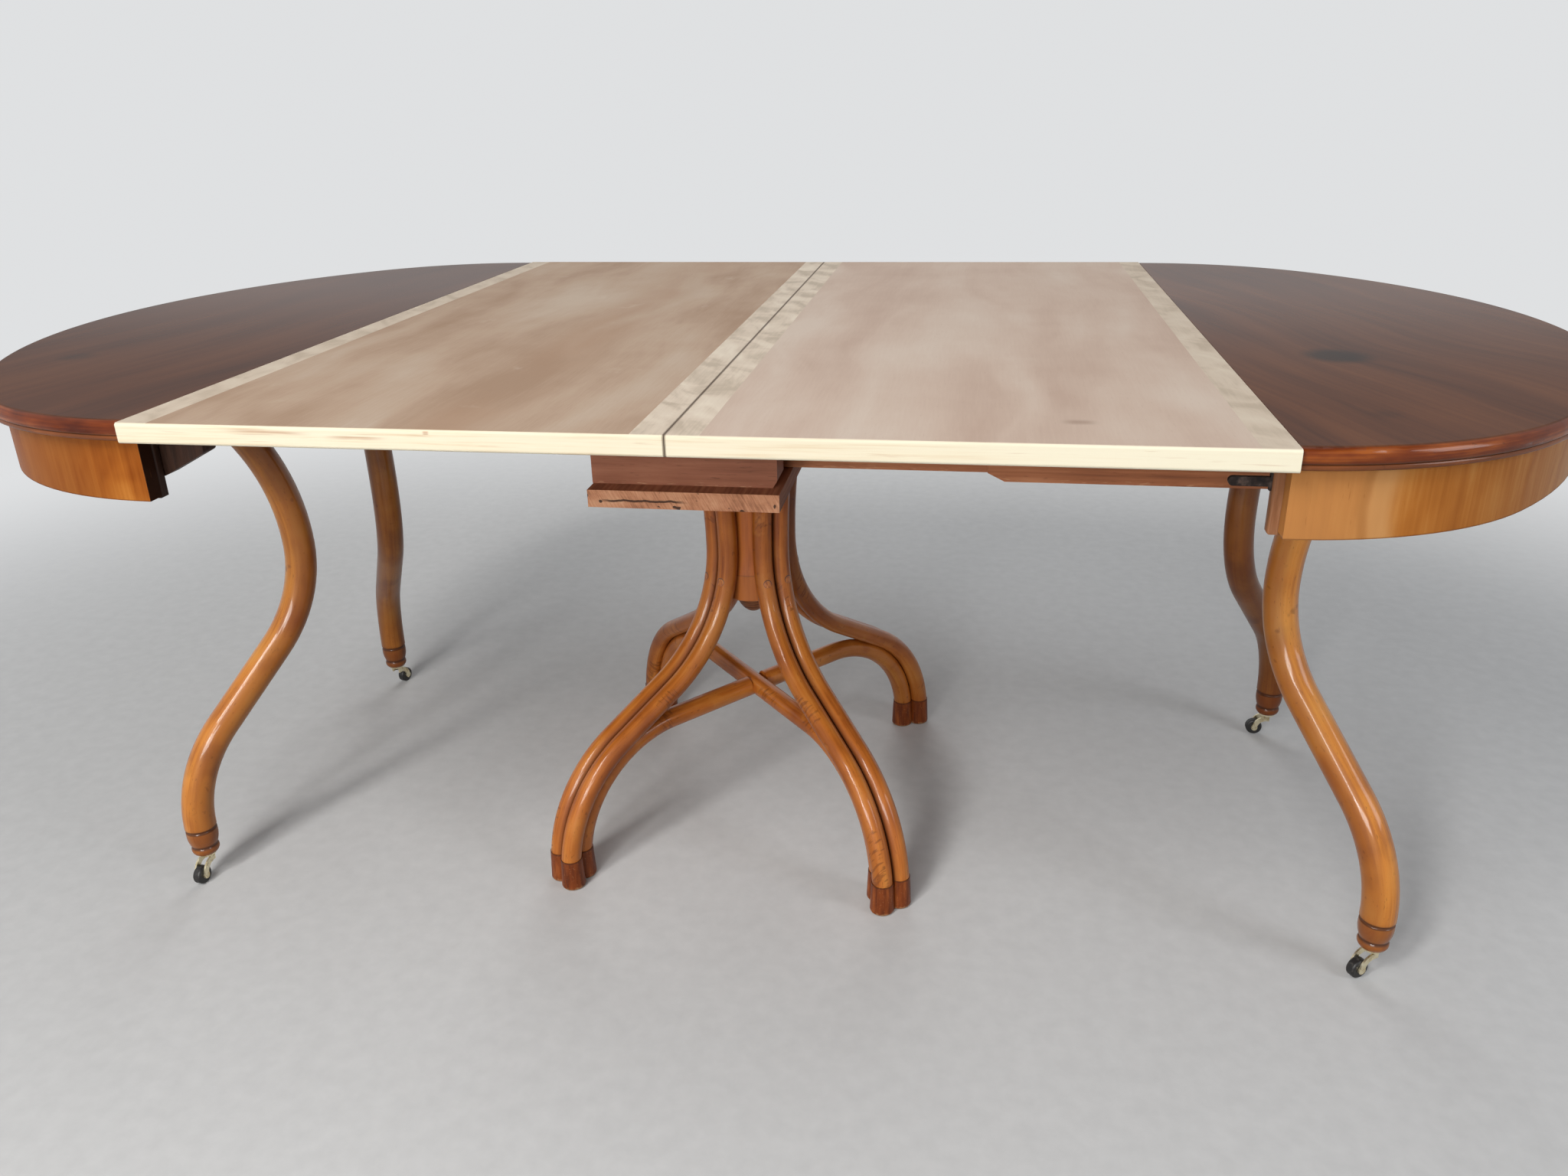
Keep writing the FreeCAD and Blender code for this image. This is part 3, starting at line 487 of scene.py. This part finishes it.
def apron_veneer():
    """Honey veneer with soft upright figure. The left apron is deeper in colour, with painted shade further
    from its joint and a black joint face. A painted shadow darkens the aprons' top under the bead.
    """
    wood = Finish("apron_veneer")
    low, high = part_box("left_end_apron")
    far_shade_start, far_shade_full = high[0] - 0.024, high[0] - 0.089
    deep, joint_black, fleck_tint = (0.17, 0.04, 0.004, 1), (0.038, 0.015, 0.008, 1), (0.24, 0.08, 0.015, 1)
    ripple = wood.noise(wood.x * 9, wood.y * 9, wood.z * 7, 3) - 0.5
    figure = wood.noise(wood.x * 13 + ripple, wood.y * 13 + ripple, wood.z * 5, 3, 0.5, 0.6)
    shimmer = wood.noise(wood.x * 60, wood.y * 60, wood.z * 6 + ripple, 2)
    streaks = wood.noise(wood.x * 260, wood.y * 260, wood.z * 9, 3)
    tone = figure * 0.6 + shimmer * 0.25 + streaks * 0.2
    pale = [(0.38, (0.27, 0.078, 0.009, 1)), (0.52, (0.4, 0.14, 0.022, 1)), (0.66, (0.5, 0.215, 0.05, 1))]
    rich = [(0.38, (0.21, 0.05, 0.004, 1)), (0.52, (0.33, 0.1, 0.012, 1)), (0.66, (0.46, 0.175, 0.03, 1))]
    left = wood.on_left()
    colour = wood.mix(left, wood.tones(tone, pale), wood.tones(tone, rich))
    # Painted shade: the left apron darkens a few centimetres out from its joint, standing in for darker
    # surroundings mirrored in its polish.
    colour = wood.mix(wood.rise(wood.x, far_shade_start, far_shade_full) * 0.62, colour, deep)
    joint_face = wood.rise(wood.x, high[0] - 0.0006, high[0] - 0.0002) * left
    colour = wood.mix(joint_face, colour, joint_black)
    colour = flamed_joint(wood, colour, ripple)
    flecks = wood.rise(wood.noise(wood.x * 420, wood.y * 420, wood.z * 60, 1), 0.68, 0.78)
    colour = wood.mix(flecks * 0.3, colour, fleck_tint)
    # Painted shadow: darker along the top of the apron, under the bead.
    grime_and_shade = wood.rise(wood.z + ripple * 0.003, high[2] - 0.006, high[2] - 0.0005)
    foot_line = wood.rise(wood.z, low[2] + 0.0016, low[2] + 0.0005)
    colour = wood.mix(wood.most(grime_and_shade * 0.5, foot_line * 0.5), colour, umber)
    relief = wood.relief(streaks, 0.0005, 0.2)
    polish = {"specular_ior_level": 0, "coat_weight": 0.25, "coat_roughness": 0.14}
    return wood.dress(colour, 0.36 + streaks * 0.12, relief, **polish)


# Raw leaves
def front_lipping(wood, colour):
    """The pale front and back edges of a leaf, with fine grain and brown marks, and painted light that makes
    them whiter to the right.
    """
    half_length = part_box("right_leaf_panel")[1][1]
    tan, pale, white = (0.68, 0.56, 0.39, 1), (0.75, 0.69, 0.54, 1), (0.8, 0.755, 0.6, 1)
    smudge, brown = (0.5, 0.32, 0.19, 1), (0.4, 0.2, 0.11, 1)
    painted_light_start, painted_light_full = 0.05, 0.5
    marks = (
        (-0.295, 0.7363, 0.006, 0.03),
        (-0.385, 0.7395, 0.012, 0.04),
        (-0.2246, 0.7414, 0.001, 0.003),
    )
    streaks = wood.noise(wood.x * 10, wood.y * 40, wood.z * 460, 3)
    strip = wood.tones(streaks, [(0.3, tan), (0.46, cream), (0.7, pale)])
    # Painted light: the strip turns whiter towards the right.
    strip = wood.mix(wood.rise(wood.x, painted_light_start, painted_light_full) * 0.8, strip, white)
    smudges = wood.rise(wood.noise(wood.x * 14 + 9, wood.y * 10, wood.z * 240, 3), 0.62, 0.78)
    strip = wood.mix(smudges * 0.5, strip, smudge)
    ragged_z = wood.z + (streaks - 0.5) * 0.008
    for x, z, half, soft in marks:
        mark = wood.near(wood.x, x, half, soft) * wood.near(ragged_z, z, 0.0006, 0.0022)
        strip = wood.mix(mark * 0.6, strip, brown)
    edge = wood.rise(abs(wood.y), half_length - 0.0022, half_length - 0.0014)
    return wood.mix(edge, colour, strip)


def leaf_panel():
    """Sanded veneer with soft bands from front to back: tan on the left leaf, pale and pink on the right."""
    wood = Finish("leaf_panel_wood")
    ruddy_tint, pore_tint = (0.37, 0.225, 0.14, 1), (0.28, 0.17, 0.11, 1)
    scuff_tint, knot_tint = (0.6, 0.5, 0.41, 1), (0.2, 0.115, 0.075, 1)
    ruddy_place, smear_place = -0.165, (0.366, -0.506)
    sway = wood.noise(wood.x * 2, wood.y * 1.7, 3.0, 2) * 0.2
    bands = wood.noise((wood.x + sway) * 10, wood.y * 1.5, 0.0, 3, 0.5, 0.4)
    clouds = wood.noise(wood.x * 5, wood.y * 4 + 3, 0.0, 4)
    fibres = wood.noise(wood.x * 380, wood.y * 20, wood.z * 40, 3, 0.6)
    tone = bands * 0.55 + clouds * 0.35 + fibres * 0.12
    warm = [(0.4, (0.36, 0.235, 0.155, 1)), (0.52, (0.46, 0.33, 0.238, 1)), (0.64, (0.53, 0.42, 0.325, 1))]
    pink = [(0.4, (0.5, 0.365, 0.29, 1)), (0.52, (0.575, 0.445, 0.362, 1)), (0.64, (0.63, 0.52, 0.435, 1))]
    left = wood.on_left()
    colour = wood.mix(left, wood.tones(tone, pink), wood.tones(tone, warm))
    ruddy = wood.near(wood.x + sway * 0.4, ruddy_place, 0.012, 0.055) * wood.rise(clouds, 0.35, 0.6)
    colour = wood.mix(ruddy * left * 0.55, colour, ruddy_tint)
    pores = wood.rise(wood.noise(wood.x * 800, wood.y * 60, 0.0, 1), 0.66, 0.78)
    colour = wood.mix(pores * 0.15, colour, pore_tint)
    scuffs = wood.rise(wood.noise(wood.x * 20, wood.y * 14, 4.0, 4), 0.64, 0.76)
    colour = wood.mix(scuffs * 0.3, colour, scuff_tint)
    knots = wood.rise(wood.noise(wood.x * 26, wood.y * 22, 8.0, 1), 0.8, 0.86)
    smear = wood.near(wood.x, smear_place[0], 0.004, 0.016) * wood.near(wood.y, smear_place[1], 0.001, 0.011)
    colour = wood.mix(wood.most(knots * 0.5, smear * 0.4), colour, knot_tint)
    colour = front_lipping(wood, colour)
    relief = wood.relief(fibres * 0.5 - pores * 0.4, 0.0005, 0.2)
    return wood.dress(colour, 0.6 + fibres * 0.14, relief, specular_ior_level=0.3)


def leaf_band():
    """Pale cross bands with greyish flames over them and a few small knots. The outer ones are greyer."""
    wood = Finish("leaf_band_wood")
    low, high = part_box("right_leaf_panel")
    seam_start, seam_full = 0.0022, 0.001
    pale, knot_tint, seam_tint = (0.74, 0.65, 0.53, 1), (0.2, 0.12, 0.075, 1), (0.1, 0.06, 0.035, 1)
    sway = wood.noise(wood.x * 12, wood.y * 8, 0.0, 2) * 0.05
    flames = wood.noise((wood.x + sway) * 26 + wood.y * 14, wood.y * 13 - wood.x * 9, 0.0, 3, 0.5, 0.6)
    fibres = wood.noise(wood.x * 430, wood.y * 20, wood.z * 60, 3)
    tone = flames * 0.8 + fibres * 0.2
    colour = wood.tones(tone, [(0.36, maple_grey), (0.5, maple), (0.66, pale)])
    outer = wood.rise(abs(wood.x), low[0], high[0])
    colour = wood.mix(outer * 0.3, colour, maple_grey)
    knots = wood.rise(wood.noise(wood.x * 44, wood.y * 26, 5.0, 1), 0.76, 0.84)
    colour = wood.mix(knots * 0.6, colour, knot_tint)
    colour = front_lipping(wood, colour)
    seam = wood.rise(abs(wood.x), seam_start, seam_full)
    colour = wood.mix(seam * 0.75, colour, seam_tint)
    relief = wood.relief(fibres * 0.5, 0.0006, 0.3)
    return wood.dress(colour, 0.56 + fibres * 0.14, relief, specular_ior_level=0.3)


# Iron, brass and rubber
def catch_iron():
    """Blackened iron, duller where it has rusted."""
    iron = Finish("catch_iron")
    rust = iron.noise(iron.x * 130, iron.y * 130, iron.z * 130, 4)
    stops = [(0.35, (0.012, 0.01, 0.01, 1)), (0.6, (0.035, 0.024, 0.02, 1)), (0.8, (0.11, 0.05, 0.028, 1))]
    metallic = iron.rise(rust, 0.72, 0.5) * 0.8
    relief = iron.relief(rust, 0.0012, 0.6)
    return iron.dress(iron.tones(rust, stops), 0.4 + rust * 0.3, relief, metallic=metallic)


def caster_brass():
    """Pale worn brass with tarnish and dark spots."""
    brass = Finish("caster_brass")
    spot_tint = (0.2, 0.13, 0.06, 1)
    tarnish = brass.noise(brass.x * 110, brass.y * 110, brass.z * 110, 3)
    spots = brass.rise(brass.noise(brass.x * 300, brass.y * 300, brass.z * 300, 2), 0.66, 0.76)
    stops = [(0.3, (0.5, 0.4, 0.22, 1)), (0.5, (0.76, 0.67, 0.45, 1)), (0.7, (0.86, 0.8, 0.6, 1))]
    colour = brass.mix(spots * 0.45, brass.tones(tarnish, stops), spot_tint)
    roughness = 0.2 + tarnish * 0.16 + spots * 0.2
    relief = brass.relief(tarnish * 0.5 - spots * 0.4, 0.0006, 0.4)
    return brass.dress(colour, roughness, relief, metallic=0.85 - spots * 0.3)


def wheel_black():
    """Hard black wheels with dust in their scuffs."""
    rubber = Finish("wheel_black")
    black, dust_tint = (0.014, 0.013, 0.013, 1), (0.09, 0.08, 0.07, 1)
    scuffs = rubber.noise(rubber.x * 260, rubber.y * 260, rubber.z * 260, 4)
    dust = rubber.rise(scuffs, 0.55, 0.75)
    colour = rubber.mix(dust * 0.5, black, dust_tint)
    relief = rubber.relief(scuffs, 0.0005, 0.4)
    return rubber.dress(colour, 0.45 + dust * 0.25, relief)


# Which finish goes where
def paint(material, *names):
    """Gives a finish to the nodes of these names."""
    for name in names:
        mesh = nodes[name].data
        mesh.materials.clear()
        mesh.materials.append(material)


def finish_pedestal():
    diagonals = (("back_right", "front_left", "lower"), ("back_left", "front_right", "upper"))
    for turn, (far, near, arch) in zip(pedestal_turns, diagonals):
        rods = [f"leg_rod_{corner}_{letter}" for corner in (far, near) for letter in "ab"]
        paint(pedestal_rod(f"rod_wood_{arch}", turn, True), *rods)
        paint(pedestal_rod(f"arch_wood_{arch}", turn, False), f"stretcher_arch_{arch}")
    paint(shoe_wood(), *(name for name in nodes if name.startswith("leg_shoe_")))
    paint(plug_wood(), "rod_plugs")
    paint(column_wood(), "pedestal_column")
    paint(plank_wood(), "bearer_plank")
    paint(cheek_wood(), "bearer_cheek_front", "bearer_cheek_back")
    paint(rail_wood(), *(name for name in nodes if "_rail_" in name))


def finish_ends():
    paint(top_wood(), *(f"{side}_end_top" for side in sides))
    paint(rim_wood(), *(f"{side}_end_edge" for side in sides))
    paint(apron_veneer(), *(f"{side}_end_apron" for side in sides))
    battens = [name for name in nodes if "_batten_" in name]
    paint(batten_wood(), *battens, "left_catch")
    paint(catch_iron(), "right_catch")
    for side, way in zip(sides, (1, -1)):
        # The back legs are made darker, partly by stain and partly by painted shade.
        for row, depth, stain in (("front", -1, 0.0), ("back", 1, back_leg_stain_and_shade[side])):
            turn = end_leg_turns[0] if way * depth > 0 else end_leg_turns[1]
            place = (way * end_leg_place[0], depth * end_leg_place[1])
            paint(end_leg(f"end_leg_wood_{side}_{row}", turn, place, stain), f"{side}_leg_{row}")


def finish_leaves():
    paint(leaf_panel(), *(f"{side}_leaf_panel" for side in sides))
    paint(leaf_band(), *(f"{side}_leaf_band_{edge}" for side in sides for edge in ("inner", "outer")))


def finish_casters():
    paint(caster_brass(), *(f"caster_fork_{corner}" for corner in corners))
    paint(wheel_black(), *(f"caster_wheel_{corner}" for corner in corners))


# Floor, light and camera
def studio_floor():
    """A pale floor that turns up into a backdrop all round, far outside the table."""
    reach, lift, wall_height, steps, around = 7.0, 2.5, 12.5, 12, 96
    profile = [(0.0, 0.0), (reach / 2, 0.0)]
    for step in range(steps + 1):
        angle = math.pi / 2 * step / steps
        profile.append((reach + lift * math.sin(angle), lift * (1 - math.cos(angle))))
    profile.append((reach + lift, wall_height))
    points, faces = [], []
    for radius, height in profile:
        for part in range(around):
            angle = 2 * math.pi * part / around
            points.append((radius * math.cos(angle), radius * math.sin(angle), height))
    for ring in range(len(profile) - 1):
        for part in range(around):
            other = (part + 1) % around
            start, end = ring * around, (ring + 1) * around
            faces.append((start + part, end + part, end + other, start + other))
    mesh = bpy.data.meshes.new("studio_floor")
    mesh.from_pydata(points, [], faces)
    mesh.polygons.foreach_set("use_smooth", [True] * len(faces))
    floor = bpy.data.objects.new("studio_floor", mesh)
    bpy.context.scene.collection.objects.link(floor)
    mesh.materials.append(studio_paper())


def studio_paper():
    """Pale paper that takes the table's shadow, and shows an even pale ground further out."""
    paper = Finish("studio_paper")
    glow_start, glow_full = 1.3, 3.0
    bounced, glow_tint = (0.36, 0.365, 0.37, 1), (0.74, 0.75, 0.76, 1)
    camera_ray = paper.node("ShaderNodeLightPath", {}, {}, "Is Camera Ray")
    rays = camera_ray.socket.node.outputs
    mirrored = paper.most(Value(paper, rays["Is Glossy Ray"]), Value(paper, rays["Is Transmission Ray"]))
    seen = paper.most(camera_ray, mirrored)
    speck = paper.noise(paper.x * 40, paper.y * 40, paper.z * 40, 3)
    pale = paper.tones(speck, [(0.3, (0.58, 0.59, 0.6, 1)), (0.7, (0.62, 0.63, 0.64, 1))])
    paper.dress(paper.mix(seen, bounced, pale), 0.9, specular_ior_level=0.1)
    glow = paper.node("ShaderNodeEmission", {}, {"Color": glow_tint, "Strength": 1})
    far = paper.rise((paper.x**2 + paper.y**2) ** 0.5, glow_start, glow_full)
    lit = Value(paper, paper.shader.outputs["BSDF"])
    ground = paper.node("ShaderNodeMixShader", {}, {0: far * seen, 1: lit, 2: glow})
    paper.feed(paper.tree.nodes["Material Output"].inputs["Surface"], ground)
    return paper.material


def soft_box(name, place, target, size, watts, colour):
    """A rectangular lamp that faces the target."""
    lamp = bpy.data.lights.new(name, "AREA")
    lamp.shape = "RECTANGLE"
    lamp.size, lamp.size_y = size
    lamp.energy = watts
    lamp.color = colour
    box = bpy.data.objects.new(name, lamp)
    box.location = place
    box.rotation_euler = (Vector(target) - Vector(place)).to_track_quat("-Z", "Y").to_euler()
    bpy.context.scene.collection.objects.link(box)
    return box


def studio_light():
    """A dim sky and soft lamps. The lamp behind fills without showing in reflections."""
    world = bpy.data.worlds.new("studio")
    world.use_nodes = True
    sky = world.node_tree.nodes["Background"]
    sky.inputs["Color"].default_value = (0.92, 0.95, 1.0, 1)
    sky.inputs["Strength"].default_value = 0.25
    bpy.context.scene.world = world
    warm, mild, plain, cool = (1, 0.97, 0.93), (1, 0.98, 0.95), (1, 0.99, 0.97), (0.95, 0.97, 1)
    legs, rails, right_rails = (0, 0, 0.4), (0, 0, 0.5), (0.3, 0, 0.5)
    soft_box("front_box", (-1.3, -2.6, 2.9), legs, (0.5, 1.5), 60, warm)
    soft_box("low_box", (-0.6, -4.0, 1.5), legs, (1.8, 0.9), 70, mild)
    soft_box("strip_box", (-0.95, -3.3, 2.2), legs, (0.35, 1.6), 30, mild)
    soft_box("over_box", (0.6, 0.4, 3.4), rails, (2.6, 1.8), 14, plain)
    fill = soft_box("back_box", (-0.5, 3.4, 1.9), legs, (2.4, 1.2), 46, plain)
    fill.visible_glossy = False
    soft_box("side_box", (3.1, -1.4, 2.0), right_rails, (1.1, 1.4), 25, cool)


def photo_camera():
    """The photograph's camera, solved from straight edges and feet of the table."""
    eye = (0.2698, -1.5788, 1.0237)
    yaw, pitch, roll = 0.1629, 0.3944, -0.0213
    image_width, focal_pixels, film_width = 2048, 1553.46, 36
    level = Vector((math.cos(yaw), math.sin(yaw), 0))
    view = Vector((-math.sin(yaw) * math.cos(pitch), math.cos(yaw) * math.cos(pitch), -math.sin(pitch)))
    upright = Vector((-math.sin(yaw) * math.sin(pitch), math.cos(yaw) * math.sin(pitch), math.cos(pitch)))
    right = level * math.cos(roll) + upright * math.sin(roll)
    up = upright * math.cos(roll) - level * math.sin(roll)
    lens = bpy.data.cameras.new("photo_camera")
    lens.sensor_fit = "HORIZONTAL"
    lens.sensor_width = film_width
    lens.lens = film_width * focal_pixels / image_width
    lens.clip_start = 0.05
    camera = bpy.data.objects.new("photo_camera", lens)
    turn = Matrix((right, up, -view)).transposed()
    camera.matrix_world = Matrix.Translation(eye) @ turn.to_4x4()
    bpy.context.scene.collection.objects.link(camera)
    bpy.context.scene.camera = camera


finish_pedestal()
finish_ends()
finish_leaves()
finish_casters()
studio_floor()
studio_light()
photo_camera()
bpy.context.scene.view_settings.view_transform = "Standard"
